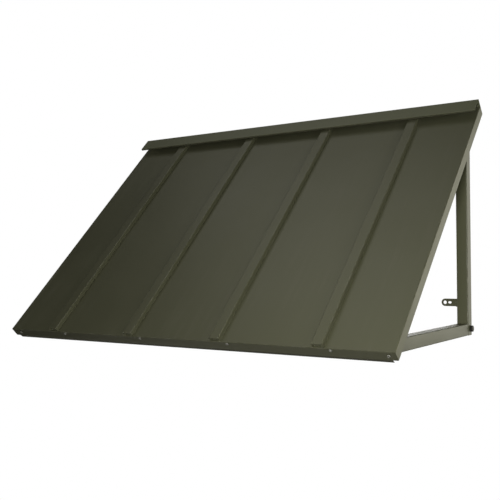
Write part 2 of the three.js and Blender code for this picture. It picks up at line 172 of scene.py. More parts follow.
# dry dust that rain has drawn into faint streaks down the slope; the smaller alongSlope, the longer they are
dustLook = {
    "alongSlope": 0.07, "streakFrom": 0.46, "streakTo": 0.74,
    "patchScale": 4.5, "patchFrom": 0.38, "patchTo": 0.68,
}


def buildDust():
    tree, gin, gout = newGroup("dustStreaks", [
        ("Vector", "NodeSocketVector", None),
        ("Streak Width", "NodeSocketFloat", 70.0),
        ("Amount", "NodeSocketFloat", 0.3),
    ], [("Mask", "NodeSocketFloat")])
    stretch = put(tree, "ShaderNodeVectorMath", operation="MULTIPLY")
    stretch.inputs[1].default_value = (1.0, dustLook["alongSlope"], 1.0)
    wire(tree, gin.outputs["Vector"], stretch.inputs[0])
    streak = put(tree, "ShaderNodeTexNoise")
    setInputs(streak, Detail=3.0, Roughness=0.6)
    wire(tree, stretch.outputs[0], streak.inputs["Vector"])
    wire(tree, gin.outputs["Streak Width"], streak.inputs["Scale"])
    patch = noise(tree, gin.outputs["Vector"], dustLook["patchScale"], 3.0, 0.55)
    mask = mathNode(tree, "MULTIPLY",
                    mapRange(tree, streak.outputs["Fac"], dustLook["streakFrom"], dustLook["streakTo"]),
                    mapRange(tree, patch, dustLook["patchFrom"], dustLook["patchTo"]))
    wire(tree, mathNode(tree, "MULTIPLY", mask, gin.outputs["Amount"], clamp=True), gout.inputs["Mask"])
    return tree


# paint rubbed thin along folds and cut edges
rubLook = {"patchScale": 55.0, "patchFrom": 0.42, "patchTo": 0.72}


def buildEdgeRub():
    tree, gin, gout = newGroup("edgeRub", [
        ("Vector", "NodeSocketVector", None),
        ("Fold", "NodeSocketFloat", 0.0),
        ("Amount", "NodeSocketFloat", 0.5),
    ], [("Mask", "NodeSocketFloat")])
    worn = noise(tree, gin.outputs["Vector"], rubLook["patchScale"], 4.0, 0.65)
    patch = mapRange(tree, worn, rubLook["patchFrom"], rubLook["patchTo"])
    onFold = mathNode(tree, "MULTIPLY", gin.outputs["Fold"], patch)
    mask = mathNode(tree, "MULTIPLY", onFold, gin.outputs["Amount"], clamp=True)
    wire(tree, mask, gout.inputs["Mask"])
    return tree


groups = {"coat": buildPowderCoat(), "dust": buildDust(), "rub": buildEdgeRub()}


# a key such as cloudAmount sets the group's input "Cloud Amount"
def useGroup(tree, name, **values):
    node = put(tree, "ShaderNodeGroup", node_tree=groups[name])
    for key, value in values.items():
        label = "".join(" " + c if c.isupper() else c for c in key)
        label = label[0].upper() + label[1:]
        if isinstance(value, bpy.types.NodeSocket):
            wire(tree, value, node.inputs[label])
        else:
            node.inputs[label].default_value = value
    return node


roofPaint = {
    "paint": (0.0495, 0.0500, 0.028, 1), "rough": 0.44, "cloud": 0.10, "speckle": 0.14,
    "skinHeight": 0.00005, "waveHeight": 0.0006, "dust": 0.14, "dustColour": (0.12, 0.115, 0.09, 1),
    "rub": 0.5, "rubColour": (0.085, 0.085, 0.065, 1), "sheen": (1.0, 0.99, 0.76, 1), "gloss": 0.5,
    "lacquer": 0.0, "lacquerRough": 0.33, "grime": 0.0, "lipShadeColour": (0.017, 0.017, 0.010, 1),
}
# painted shade darkens the fascia's lip, in patches
fasciaPaint = dict(roofPaint, paint=(0.0385, 0.0385, 0.0212, 1), grime=0.95)
# another coil of sheet, a shade paler; its front lip is darkened with painted shade
flashingPaint = dict(roofPaint, paint=(0.075, 0.0785, 0.045, 1), gloss=0.4,
                     grime=0.9, lipShadeColour=(0.028, 0.028, 0.016, 1))
framePaint = {
    "paint": (0.056, 0.057, 0.030, 1), "rough": 0.44, "cloud": 0.10, "speckle": 0.14,
    "skinHeight": 0.00006, "waveHeight": 0.0, "dust": 0.16, "dustColour": (0.11, 0.105, 0.08, 1),
    "rub": 0.5, "rubColour": (0.08, 0.08, 0.06, 1), "sheen": (1.0, 0.99, 0.78, 1), "gloss": 0.1,
    "lacquer": 0.4, "lacquerRough": 0.33, "grime": 0.0,
}
# what all the paints share: how rough dust and the painted lip shade are, how patchy that painted shade lies
# and how wide the sheet's waves are
wear = {
    "dustRough": 0.5, "lipShadeRough": 0.5, "lipShadeScale": 40.0, "lipShadeFrom": 0.3, "grimeTo": 0.6,
    "lipShadeThin": 0.8, "waveScale": 5.5,
}


def makePaint(name, finish, slope):
    material, tree, out = newMaterial(name)
    shader = put(tree, "ShaderNodeBsdfPrincipled")
    shader.inputs["Specular Tint"].default_value = finish["sheen"]
    shader.inputs["Specular IOR Level"].default_value = finish["gloss"]
    shader.inputs["Coat Weight"].default_value = finish["lacquer"]
    shader.inputs["Coat Roughness"].default_value = finish["lacquerRough"]
    wire(tree, shader.outputs[0], out.inputs["Surface"])
    place = put(tree, "ShaderNodeTexCoord")
    turn = put(tree, "ShaderNodeMapping")
    turn.inputs["Rotation"].default_value = (-slope, 0, 0)
    wire(tree, place.outputs["Object"], turn.inputs["Vector"])
    vector = turn.outputs[0]
    fold = put(tree, "ShaderNodeAttribute", attribute_name="fold")
    coat = useGroup(tree, "coat", vector=vector, paint=finish["paint"], cloudAmount=finish["cloud"],
                    speckleAmount=finish["speckle"], roughness=finish["rough"])
    dust = useGroup(tree, "dust", vector=vector, amount=finish["dust"])
    rub = useGroup(tree, "rub", vector=vector, fold=fold.outputs["Fac"], amount=finish["rub"])
    colour = mixColour(tree, dust.outputs["Mask"], coat.outputs["Color"], finish["dustColour"])
    colour = mixColour(tree, rub.outputs["Mask"], colour, finish["rubColour"])
    rough = mathNode(tree, "ADD", coat.outputs["Roughness"],
                     mathNode(tree, "MULTIPLY", dust.outputs["Mask"], wear["dustRough"]))
    # painted shade: faces marked as the shaded lip turn darker and rougher, in noise patches
    if finish["grime"]:
        onShadedLip = put(tree, "ShaderNodeAttribute", attribute_name="drip")
        patchy = mapRange(tree, noise(tree, vector, wear["lipShadeScale"], 3.0, 0.6), wear["lipShadeFrom"],
                          wear["grimeTo"], finish["grime"] * wear["lipShadeThin"], finish["grime"])
        lipShadeMask = mathNode(tree, "MULTIPLY", onShadedLip.outputs["Fac"], patchy)
        colour = mixColour(tree, lipShadeMask, colour, finish["lipShadeColour"])
        rougher = mathNode(tree, "MULTIPLY", lipShadeMask, wear["lipShadeRough"])
        rough = mathNode(tree, "ADD", rough, rougher, clamp=True)
    wire(tree, colour, shader.inputs["Base Color"])
    wire(tree, rough, shader.inputs["Roughness"])
    skin = put(tree, "ShaderNodeBump")
    setInputs(skin, Strength=1.0, Distance=finish["skinHeight"])
    wire(tree, coat.outputs["Skin"], skin.inputs["Height"])
    if finish["waveHeight"]:
        wave = put(tree, "ShaderNodeBump")  # gentle oil-canning of wide flat sheet
        setInputs(wave, Strength=1.0, Distance=finish["waveHeight"])
        wire(tree, noise(tree, vector, wear["waveScale"], 1.0, 0.4), wave.inputs["Height"])
        wire(tree, wave.outputs[0], skin.inputs["Normal"])
    wire(tree, skin.outputs[0], shader.inputs["Normal"])
    return material


zincLook = {
    "metal": (0.15, 0.15, 0.13, 1), "rough": 0.62, "metallic": 0.35, "stain": (0.10, 0.095, 0.075, 1),
}
darkLook = {
    "metal": (0.06, 0.06, 0.056, 1), "rough": 0.45, "metallic": 0.85, "stain": (0.03, 0.026, 0.022, 1),
}
steelGrain = {
    "blotchScale": 380.0, "blotchFrom": 0.35, "blotchTo": 0.7, "blotchRough": 0.25,
    "pitScale": 1500.0, "pitDepth": 0.00003,
}


def makeSteel(name, finish):
    material, tree, out = newMaterial(name)
    shader = put(tree, "ShaderNodeBsdfPrincipled")
    shader.inputs["Metallic"].default_value = finish["metallic"]
    wire(tree, shader.outputs[0], out.inputs["Surface"])
    vector = put(tree, "ShaderNodeTexCoord").outputs["Object"]
    blotch = mapRange(tree, noise(tree, vector, steelGrain["blotchScale"], 4.0, 0.6),
                      steelGrain["blotchFrom"], steelGrain["blotchTo"])
    wire(tree, mixColour(tree, blotch, finish["metal"], finish["stain"]), shader.inputs["Base Color"])
    rougher = mathNode(tree, "MULTIPLY", blotch, steelGrain["blotchRough"])
    rough = mathNode(tree, "ADD", rougher, finish["rough"])
    wire(tree, rough, shader.inputs["Roughness"])
    bump = put(tree, "ShaderNodeBump")
    setInputs(bump, Strength=1.0, Distance=steelGrain["pitDepth"])
    wire(tree, noise(tree, vector, steelGrain["pitScale"], 2.0, 0.6), bump.inputs["Height"])
    wire(tree, bump.outputs[0], shader.inputs["Normal"])
    return material


# by slot, and by node where a piece has a paint of its own
materials = {
    "roof_sheet": makePaint("roofPaint", roofPaint, roof["slope"]),
    "head_flashing": makePaint("flashingPaint", flashingPaint, roof["slope"]),
    "front_fascia": makePaint("fasciaPaint", fasciaPaint, roof["slope"]),
    "frame_tube": makePaint("framePaint", framePaint, 0.0),
    "zinc_fixings": makeSteel("zincSteel", zincLook),
    "dark_bolts": makeSteel("darkSteel", darkLook),
}
slotOf = {s["node"]: s["material_slot"] for s in frame["record"]["subparts"]}
print("finishes:", ", ".join(m.name for m in materials.values()))

# folded sheet and tube: merged copies of the solids with softened edges
softEdges = {
    "roof_sheet": {"width": 0.00025, "segments": 2, "sharp": 50, "strip": 0.0030},
    "frame_tube": {"width": 0.00030, "segments": 2, "sharp": 50, "strip": 0.0026},
}
merge = {"within": 2e-6, "flatWithin": math.radians(0.5)}
drip = {"fasciaFold": -0.0246, "flashingLip": 0.0006}
seamCap = {"legEnd": 0.0035, "drop": 0.0009}
armEnd = {"at": 0.0303, "within": 2e-5, "outerSkin": 0.0139, "radius": 0.0012, "segments": 3}


def finishedMesh(piece):
    depsgraph = bpy.context.evaluated_depsgraph_get()
    mesh = bpy.data.meshes.new_from_object(piece.evaluated_get(depsgraph), depsgraph=depsgraph)
    piece.modifiers.clear()
    old = piece.data
    piece.data = mesh
    bpy.data.meshes.remove(old)
    return mesh


# narrow faces are folds and cut edges
def markFolds(mesh, strip):
    attribute = mesh.attributes.new("fold", "FLOAT", "FACE")
    for polygon in mesh.polygons:
        corners = [mesh.vertices[i].co for i in polygon.vertices]
        longest = max((a - b).length for a, b in zip(corners, corners[1:] + corners[:1]))
        attribute.data[polygon.index].value = 1.0 if polygon.area / longest < strip else 0.0


# faces that take painted shade: below the fascia's lowest fold, and the flashing's front lip
def markShadedLip(mesh, nodeName):
    inside = roofPlace.inverted()
    places = [inside @ polygon.center for polygon in mesh.polygons]
    front = min(place.y for place in places)
    attribute = mesh.attributes.new("drip", "FLOAT", "FACE")
    for place, face in zip(places, attribute.data):
        if nodeName == "front_fascia":
            onLip = place.z < drip["fasciaFold"]
        else:
            onLip = place.y < front + drip["flashingLip"]
        face.value = 1.0 if onLip else 0.0


# the caps' legs spring down onto the pans
def settleSeam(bm):
    down = roofPlace.to_3x3() @ Vector((0, 0, -seamCap["drop"]))
    inside = roofPlace.inverted()
    for vert in bm.verts:
        if (inside @ vert.co).z < seamCap["legEnd"]:
            vert.co += down


# the arm's mouth is eased where it butts against the post
def roundArmEnd(bm):
    anyVert = next(iter(bm.verts))
    middle = Vector((math.copysign(tube["middle"], anyVert.co.x), 0, footLevel + tube["size"] / 2))

    def onMouth(vert):
        off = vert.co - middle
        outside = max(abs(off.x), abs(off.z)) > armEnd["outerSkin"]
        return abs(vert.co.y + armEnd["at"]) < armEnd["within"] and outside

    rim = [edge for edge in bm.edges if onMouth(edge.verts[0]) and onMouth(edge.verts[1])]
    bmesh.ops.bevel(bm, geom=rim, offset=armEnd["radius"], segments=armEnd["segments"], profile=0.5,
                    affect="EDGES")


def softCopy(nodeName):
    style = softEdges[slotOf[nodeName]]
    mesh = bpy.data.meshes.new(nodeName + "_soft")
    bm = bmesh.new()
    bm.from_mesh(nodes[nodeName].data)
    bmesh.ops.remove_doubles(bm, verts=bm.verts, dist=merge["within"])
    bmesh.ops.dissolve_limit(bm, angle_limit=merge["flatWithin"], verts=bm.verts, edges=bm.edges)
    if nodeName.startswith("seam_cap"):
        settleSeam(bm)
    if nodeName.endswith("_arm"):
        roundArmEnd(bm)
    bm.to_mesh(mesh)
    bm.free()
    piece = newObject(nodeName + "_finish", mesh)
    mesh.shade_smooth()
    mesh.set_sharp_from_angle(angle=math.radians(style["sharp"]))
    bevel = piece.modifiers.new("softEdges", "BEVEL")
    bevel.limit_method = "ANGLE"
    bevel.angle_limit = math.radians(style["sharp"])
    bevel.width = style["width"]
    bevel.segments = style["segments"]
    bevel.use_clamp_overlap = True
    bevel.harden_normals = False
    flat = piece.modifiers.new("flatFaces", "WEIGHTED_NORMAL")
    flat.keep_sharp = False
    mesh = finishedMesh(piece)
    markFolds(mesh, style["strip"])
    # mark the lips that take painted shade
    if nodeName in ("front_fascia", "head_flashing"):
        markShadedLip(mesh, nodeName)
    mesh.materials.clear()
    mesh.materials.append(materials.get(nodeName, materials[slotOf[nodeName]]))
    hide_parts(nodeName)
    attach(piece, "root")


for nodeName in sorted(nodes):
    if slotOf[nodeName] in softEdges:
        softCopy(nodeName)
    else:
        node = nodes[nodeName]
        node.data.materials.clear()
        node.data.materials.append(materials[slotOf[nodeName]])
print("sheet and tube finished")


# screws, bolts, nuts and plugs: one pattern of each, set in place by a node tree
def newPiece(name, bm):
    bmesh.ops.recalc_face_normals(bm, faces=bm.faces)
    mesh = bpy.data.meshes.new(name)
    bm.to_mesh(mesh)
    bm.free()
    return newObject(name, mesh)


# turned shape from (radius, height) pairs; the ends lie on the axis
def turned(bm, outline, sides):
    rings = []
    for radius, height in outline:
        if radius < 1e-7:
            rings.append([bm.verts.new((0, 0, height))])
        else:
            rings.append([bm.verts.new((radius * math.cos(a), radius * math.sin(a), height))
                          for a in (2 * math.pi * i / sides for i in range(sides))])
    for low, high in zip(rings, rings[1:]):
        for i in range(sides):
            j = (i + 1) % sides
            corners = [low[i % len(low)], low[j % len(low)], high[j % len(high)], high[i % len(high)]]
            bm.faces.new(list(dict.fromkeys(corners)))


# walls between rings of the same count, and a face at either end
def closeRings(bm, rings):
    for low, high in zip(rings, rings[1:]):
        for i in range(len(low)):
            j = (i + 1) % len(low)
            bm.faces.new((low[i], low[j], high[j], high[i]))
    bm.faces.new(rings[0])
    bm.faces.new(rings[-1])


thread = {"stepsPerTurn": 6, "tip": 0.12}


# screw thread: radius follows the helix, tapering to a point where asked
def threaded(bm, outer, root, pitch, top, bottom, sides, point=0.0):
    steps = max(4, round((top - bottom) / pitch * thread["stepsPerTurn"]))
    rings = []
    for k in range(steps + 1):
        height = top + (bottom - top) * k / steps
        taper = min(1.0, (height - bottom) / point + thread["tip"]) if point else 1.0
        ring = []
        for i in range(sides):
            turn = i / sides
            phase = ((top - height) / pitch + turn) % 1.0
            radius = root + (outer - root) * (1 - abs(2 * phase - 1))
            if k in (0, steps):
                radius = root
            radius *= taper
            angle = 2 * math.pi * turn
            ring.append(bm.verts.new((radius * math.cos(angle), radius * math.sin(angle), height)))
        rings.append(ring)
    closeRings(bm, rings)


def carve(piece, tool, operation):
    cut = piece.modifiers.new("carve", "BOOLEAN")
    cut.operation = operation
    cut.solver = "EXACT"
    cut.object = tool
    finishedMesh(piece)
    bpy.data.objects.remove(tool)


def addTo(piece, bm):
    own = bmesh.new()
    own.from_mesh(piece.data)
    extra = bpy.data.meshes.new("extra")
    bmesh.ops.recalc_face_normals(bm, faces=bm.faces)
    bm.to_mesh(extra)
    bm.free()
    own.from_mesh(extra)
    bpy.data.meshes.remove(extra)
    own.to_mesh(piece.data)
    own.free()


def smoothByAngle(piece, degrees):
    piece.data.shade_smooth()
    piece.data.set_sharp_from_angle(angle=math.radians(degrees))


# dome: shares of the head's radius and height, from its rim inwards
screw = {
    "headWidth": 0.0076, "headHeight": 0.0026, "sides": 36, "smooth": 38,
    "dome": [(0.97, 0), (1, 0.02), (1, 0.13), (0.98, 0.24), (0.955, 0.36), (0.88, 0.58), (0.74, 0.78),
             (0.54, 0.92), (0.28, 0.985)],
    "recessLength": 0.0042, "recessWidth": 0.0010, "recessDepth": 0.0015, "recessTop": 1.3,
    "recessNarrows": (0.55, 0.75),
    "shank": 0.0042, "root": 0.0031, "pitch": 0.0018, "length": 0.0140, "point": 0.003, "shankSides": 18,
    "lap": 0.0002,
}


def screwPattern():
    r, h = screw["headWidth"] / 2, screw["headHeight"]
    bm = bmesh.new()
    turned(bm, [(0, 0)] + [(r * across, h * up) for across, up in screw["dome"]] + [(0, h)], screw["sides"])
    head = newPiece("screwPattern", bm)
    half, wide, deep = screw["recessLength"] / 2, screw["recessWidth"] / 2, screw["recessDepth"]
    narrowX, narrowY = screw["recessNarrows"]
    bm = bmesh.new()  # cross recess: a plus sign that narrows downwards
    plus = [(half, -wide), (half, wide), (wide, wide), (wide, half), (-wide, half), (-wide, wide),
            (-half, wide), (-half, -wide), (-wide, -wide), (-wide, -half), (wide, -half), (wide, -wide)]
    mouth = [bm.verts.new((x, y, h * screw["recessTop"])) for x, y in plus]
    floor = [bm.verts.new((x * narrowX, y * narrowY, h - deep)) for x, y in plus]
    closeRings(bm, [mouth, floor])
    carve(head, newPiece("crossRecess", bm), "DIFFERENCE")
    bm = bmesh.new()
    threaded(bm, screw["shank"] / 2, screw["root"] / 2, screw["pitch"], screw["lap"], -screw["length"],
             screw["shankSides"], point=screw["point"])
    addTo(head, bm)
    smoothByAngle(head, screw["smooth"])
    return head


# faceShare: the end face against the width across flats; spare: how far cutting tools stand past the work
bolt = {
    "acrossFlats": 0.0160, "headHeight": 0.0064, "faceShare": 0.96, "faceAngle": 30, "spare": 0.001,
    "sides": 48, "smooth": 35, "turn": 0.9,
    "washerFace": 0.0150, "washerRise": 0.0004, "washerLap": 0.0001,
    "shank": 0.0100, "plain": 0.0200, "shankLap": 0.0002,
    "root": 0.0084, "pitch": 0.0015, "reach": 0.0416, "threadSides": 32, "threadLap": 0.0005,
    "nutHeight": 0.0080, "boreGap": 0.0001, "boreFlare": 0.0011, "boreFlareDepth": 0.0006,
}


# hexagon with its corners turned off by a cone on the free sides
def hexBlank(name, low, high, bothSides):
    flat = bolt["acrossFlats"] / 2
    corner = flat / math.cos(math.pi / 6)
    face = flat * bolt["faceShare"]
    turnedOff = (corner - face) * math.tan(math.radians(bolt["faceAngle"]))
    outline = [(0, low), (corner, low)]
    if bothSides:
        outline = [(0, low), (face, low), (corner, low + turnedOff)]
    outline += [(corner, high - turnedOff), (face, high), (0, high)]
    bm = bmesh.new()
    turned(bm, outline, bolt["sides"])
    blank = newPiece(name, bm)
    spare = bolt["spare"]
    bm = bmesh.new()
    bottom = [bm.verts.new((corner * math.cos(a), corner * math.sin(a), low - spare))
              for a in (math.radians(60 * i) for i in range(6))]
    top = [bm.verts.new(v.co + Vector((0, 0, high - low + 2 * spare))) for v in bottom]
    closeRings(bm, [bottom, top])
    carve(blank, newPiece("hexagon", bm), "INTERSECT")
    return blank


def boltPattern():
    rise, half, plain = bolt["washerRise"], bolt["shank"] / 2, bolt["plain"]
    head = hexBlank("boltPattern", rise, bolt["headHeight"], False)
    washer, washerTop = bolt["washerFace"] / 2, rise + bolt["washerLap"]
    bm = bmesh.new()
    turned(bm, [(0, 0), (washer, 0), (washer, washerTop), (0, washerTop)], bolt["sides"])
    addTo(head, bm)
    shankTop = bolt["shankLap"]
    bm = bmesh.new()
    turned(bm, [(0, shankTop), (half, shankTop), (half, -plain), (0, -plain)], bolt["sides"])
    addTo(head, bm)
    bm = bmesh.new()
    threaded(bm, half, bolt["root"] / 2, bolt["pitch"], -plain + bolt["threadLap"], -bolt["reach"],
             bolt["threadSides"])
    addTo(head, bm)
    smoothByAngle(head, bolt["smooth"])
    return head


def nutPattern():
    tall, spare, deep = bolt["nutHeight"], bolt["spare"], bolt["boreFlareDepth"]
    blank = hexBlank("nutPattern", 0.0, tall, True)
    bore = bolt["shank"] / 2 + bolt["boreGap"]
    flared = bore + bolt["boreFlare"]
    bm = bmesh.new()
    turned(bm, [(0, -spare), (flared, -spare), (bore, deep), (bore, tall - deep),
                (flared, tall + spare), (0, tall + spare)], bolt["sides"])
    carve(blank, newPiece("bore", bm), "DIFFERENCE")
    smoothByAngle(blank, bolt["smooth"])
    return blank


# the last nodes of a tree: plain geometry with its finish on
def endTree(tree, geometry, gin, gout):
    real = put(tree, "GeometryNodeRealizeInstances")
    wire(tree, geometry, real.inputs[0])
    paint = put(tree, "GeometryNodeSetMaterial")
    wire(tree, real.outputs[0], paint.inputs["Geometry"])
    wire(tree, gin.outputs["Finish"], paint.inputs["Material"])
    wire(tree, paint.outputs[0], gout.inputs[0])


setting = {"size": 1.0, "turn": 3.1, "seed": 5}


# node tree: a pattern on every point, its axis along the point's own, each turned a little differently
def buildSetting():
    tree, gin, gout = newGroup("setFixings", [
        ("Places", "NodeSocketGeometry", None),
        ("Pattern", "NodeSocketObject", None),
        ("Size", "NodeSocketFloat", setting["size"]),
        ("Turn", "NodeSocketFloat", setting["turn"]),
        ("Seed", "NodeSocketInt", setting["seed"]),
        ("Finish", "NodeSocketMaterial", None),
    ], [("Fixings", "NodeSocketGeometry")], "GeometryNodeTree")
    info = put(tree, "GeometryNodeObjectInfo", transform_space="ORIGINAL")
    wire(tree, gin.outputs["Pattern"], info.inputs["Object"])
    axis = put(tree, "GeometryNodeInputNamedAttribute", data_type="FLOAT_VECTOR")
    axis.inputs["Name"].default_value = "axis"
    align = put(tree, "FunctionNodeAlignRotationToVector", axis="Z")
    wire(tree, axis.outputs["Attribute"], align.inputs["Vector"])
    random = put(tree, "FunctionNodeRandomValue", data_type="FLOAT")
    wire(tree, gin.outputs["Turn"], random.inputs[3])
    wire(tree, gin.outputs["Seed"], random.inputs["Seed"])
    twist = put(tree, "FunctionNodeAxisAngleToRotation")
    twist.inputs["Axis"].default_value = (0, 0, 1)
    wire(tree, random.outputs[1], twist.inputs["Angle"])
    both = put(tree, "FunctionNodeRotateRotation", rotation_space="LOCAL")
    wire(tree, align.outputs[0], both.inputs["Rotation"])
    wire(tree, twist.outputs[0], both.inputs["Rotate By"])
    place = put(tree, "GeometryNodeInstanceOnPoints")
    wire(tree, gin.outputs["Places"], place.inputs["Points"])
    wire(tree, info.outputs["Geometry"], place.inputs["Instance"])
    wire(tree, both.outputs[0], place.inputs["Rotation"])
    wire(tree, gin.outputs["Size"], place.inputs["Scale"])
    endTree(tree, place.outputs[0], gin, gout)
    return tree


def runTree(piece, tree, values):
    modifier = piece.modifiers.new(tree.name, "NODES")
    modifier.node_group = tree
    for item in tree.interface.items_tree:
        if item.in_out == "INPUT" and item.name in values:
            modifier[item.identifier] = values[item.name]
    finishedMesh(piece)


settingTree = buildSetting()


# places: (point of the seat, direction the head looks to); one piece stands for all its nodes
def setFixings(name, pattern, places, slot, standsFor, turn=setting["turn"], seed=setting["seed"]):
    mesh = bpy.data.meshes.new(name)
    mesh.from_pydata([p for p, _ in places], [], [])
    axis = mesh.attributes.new("axis", "FLOAT_VECTOR", "POINT")
    for i, (_, way) in enumerate(places):
        axis.data[i].vector = way
    piece = newObject(name, mesh)
    runTree(piece, settingTree, {"Pattern": pattern, "Size": setting["size"], "Turn": turn, "Seed": seed,
                                 "Finish": materials[slot]})
    if standsFor:
        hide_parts(*standsFor)
    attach(piece, "root")


def boxOnRoof(nodeName):
    inside = roofPlace.inverted()
    points = [inside @ v.co for v in nodes[nodeName].data.vertices]
    return [Vector([f(p[i] for p in points) for i in range(3)]) for f in (min, max)]


# seats of the fixings, found from the solids that they stand for
alongRoof = roofPlace.to_3x3() @ Vector((0, 1, 0))
fasciaScrews = ["fascia_screw_%d" % (i + 1) for i in range(6)]
flashingScrews = ["flashing_screw_%d" % (i + 1) for i in range(4)]
seats = {"fascia": [], "flashing": [], "strap": [], "bolt": [], "nut": [], "plug": []}
for nodeName in fasciaScrews:
    low, high = boxOnRoof(nodeName)
    seat = onRoof((low.x + high.x) / 2, low.y + screw["headHeight"], (low.z + high.z) / 2)
    seats["fascia"].append((seat, -alongRoof))
for nodeName in flashingScrews:
    low, high = boxOnRoof(nodeName)
    seat = onRoof((low.x + high.x) / 2, high.y - screw["headHeight"], (low.z + high.z) / 2)
    seats["flashing"].append((seat, alongRoof))
for side, hand in (("left", -1), ("right", 1)):
    out = Vector((hand, 0, 0))
    low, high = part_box(side + "_strap_screw")
    middle = (low + high) / 2
    seats["strap"].append((middle - out * ((high.x - low.x) / 2 - screw["headHeight"]), -out))
    low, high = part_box(side + "_arm_bolt")
    middle = (low + high) / 2
    seats["bolt"].append((middle + out * ((high.x - low.x) / 2 - bolt["headHeight"]), out))
    low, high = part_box(side + "_arm_nut")
    middle = (low + high) / 2
    seats["nut"].append((middle + out * (high.x - low.x) / 2, -out))

# moulded plugs close the seams' front ends, a little back from the eave
plug = {
    "width": 0.0214, "height": 0.0098, "depth": 0.0070, "corner": 0.0016, "cornerSteps": 4, "smooth": 40,
    "rim": 0.0012, "rimEase": 0.0002, "rimEaseDepth": 0.0003, "step": 0.0008,
    "dishFrom": 0.0012, "dishTo": 0.0018, "dishRise": 0.7, "tailInset": 0.0008, "tailFrom": 0.8,
    "recess": 0.0026, "seatHeight": 0.0058,
}
for x in roof["seams"]:
    seats["plug"].append((onRoof(x, -roof["length"] + plug["recess"], plug["seatHeight"]), -alongRoof))


def plugPattern():
    steps = plug["cornerSteps"]

    def outline(inset, height):
        ring = []
        x, y, r = plug["width"] / 2 - inset, plug["height"] / 2 - inset, plug["corner"]
        for cornerX, cornerY, start in ((x, y, 0), (-x, y, 90), (-x, -y, 180), (x, -y, 270)):
            for k in range(steps + 1):
                angle = math.radians(start + 90 / steps * k)
                ring.append((cornerX - math.copysign(r, cornerX) + r * math.cos(angle),
                             cornerY - math.copysign(r, cornerY) + r * math.sin(angle), height))
        return ring

    rim, step, depth, ease = plug["rim"], plug["step"], plug["depth"], plug["rimEase"]
    levels = [
        (plug["tailInset"], -depth), (0, -depth * plug["tailFrom"]), (0, -plug["rimEaseDepth"]), (ease, 0),
        (rim, 0), (rim + ease, -step), (rim + plug["dishFrom"], -step),
        (rim + plug["dishTo"], -step * plug["dishRise"]),
    ]
    bm = bmesh.new()
    closeRings(bm, [[bm.verts.new(p) for p in outline(inset, height)] for inset, height in levels])
    piece = newPiece("plugPattern", bm)
    smoothByAngle(piece, plug["smooth"])
    return piece


# weld beads: paths along the tubes' joints, swept by a node tree with the ripples of the run
weld = {
    "radius": 0.0016, "sides": 10, "step": 0.0004, "ripple": 0.13, "pitch": 0.0019, "seed": 7.0,
    "uneven": 0.5, "unevenScale": 260.0, "endTaper": 9.0, "endLeast": 0.04,
    "inCorner": 0.0006, "onFlat": 0.0008, "proud": 0.00015, "offFace": 0.0009, "offRafter": 0.0022,
    "margin": 0.0026, "stopShort": 0.0045, "armStop": 0.0005,
}


def buildWelds():
    tree, gin, gout = newGroup("layWelds", [
        ("Paths", "NodeSocketGeometry", None),
        ("Bead Radius", "NodeSocketFloat", weld["radius"]),
        ("Ripple", "NodeSocketFloat", weld["ripple"]),
        ("Ripple Pitch", "NodeSocketFloat", weld["pitch"]),
        ("Step", "NodeSocketFloat", weld["step"]),
        ("Seed", "NodeSocketFloat", weld["seed"]),
        ("Finish", "NodeSocketMaterial", None),
    ], [("Beads", "NodeSocketGeometry")], "GeometryNodeTree")
    curve = put(tree, "GeometryNodeMeshToCurve")
    wire(tree, gin.outputs["Paths"], curve.inputs["Mesh"])
    dense = put(tree, "GeometryNodeResampleCurve", mode="LENGTH")
    wire(tree, curve.outputs[0], dense.inputs["Curve"])
    wire(tree, gin.outputs["Step"], dense.inputs["Length"])
    along = put(tree, "GeometryNodeSplineParameter")
    turns = mathNode(tree, "DIVIDE", along.outputs["Length"], gin.outputs["Ripple Pitch"])
    wave = mathNode(tree, "SINE", mathNode(tree, "MULTIPLY", turns, 2 * math.pi))
    lumps = put(tree, "ShaderNodeTexNoise", noise_dimensions="4D")
    setInputs(lumps, Scale=weld["unevenScale"], Detail=1.0)
    wire(tree, gin.outputs["Seed"], lumps.inputs["W"])
    uneven = mathNode(tree, "SUBTRACT", lumps.outputs["Fac"], 0.5)
    swell = mathNode(tree, "ADD",
                     mathNode(tree, "MULTIPLY", wave, gin.outputs["Ripple"]),
                     mathNode(tree, "MULTIPLY", uneven, weld["uneven"]))
    toEnd = mathNode(tree, "SUBTRACT", 1.0, along.outputs["Factor"])
    fromEnd = mathNode(tree, "MINIMUM", along.outputs["Factor"], toEnd)
    taper = mathNode(tree, "MULTIPLY", fromEnd, weld["endTaper"], clamp=True)
    ends = mathNode(tree, "SQRT", mathNode(tree, "ADD", taper, weld["endLeast"]))
    thick = mathNode(tree, "MULTIPLY", mathNode(tree, "ADD", swell, 1.0), ends)
    bead = put(tree, "GeometryNodeCurvePrimitiveCircle", mode="RADIUS")
    bead.inputs["Resolution"].default_value = weld["sides"]
    wire(tree, gin.outputs["Bead Radius"], bead.inputs["Radius"])
    sweep = put(tree, "GeometryNodeCurveToMesh")
    wire(tree, dense.outputs[0], sweep.inputs["Curve"])
    wire(tree, bead.outputs[0], sweep.inputs["Profile Curve"])
    wire(tree, thick, sweep.inputs["Scale"])
    sweep.inputs["Fill Caps"].default_value = True
    endTree(tree, sweep.outputs[0], gin, gout)
    return tree


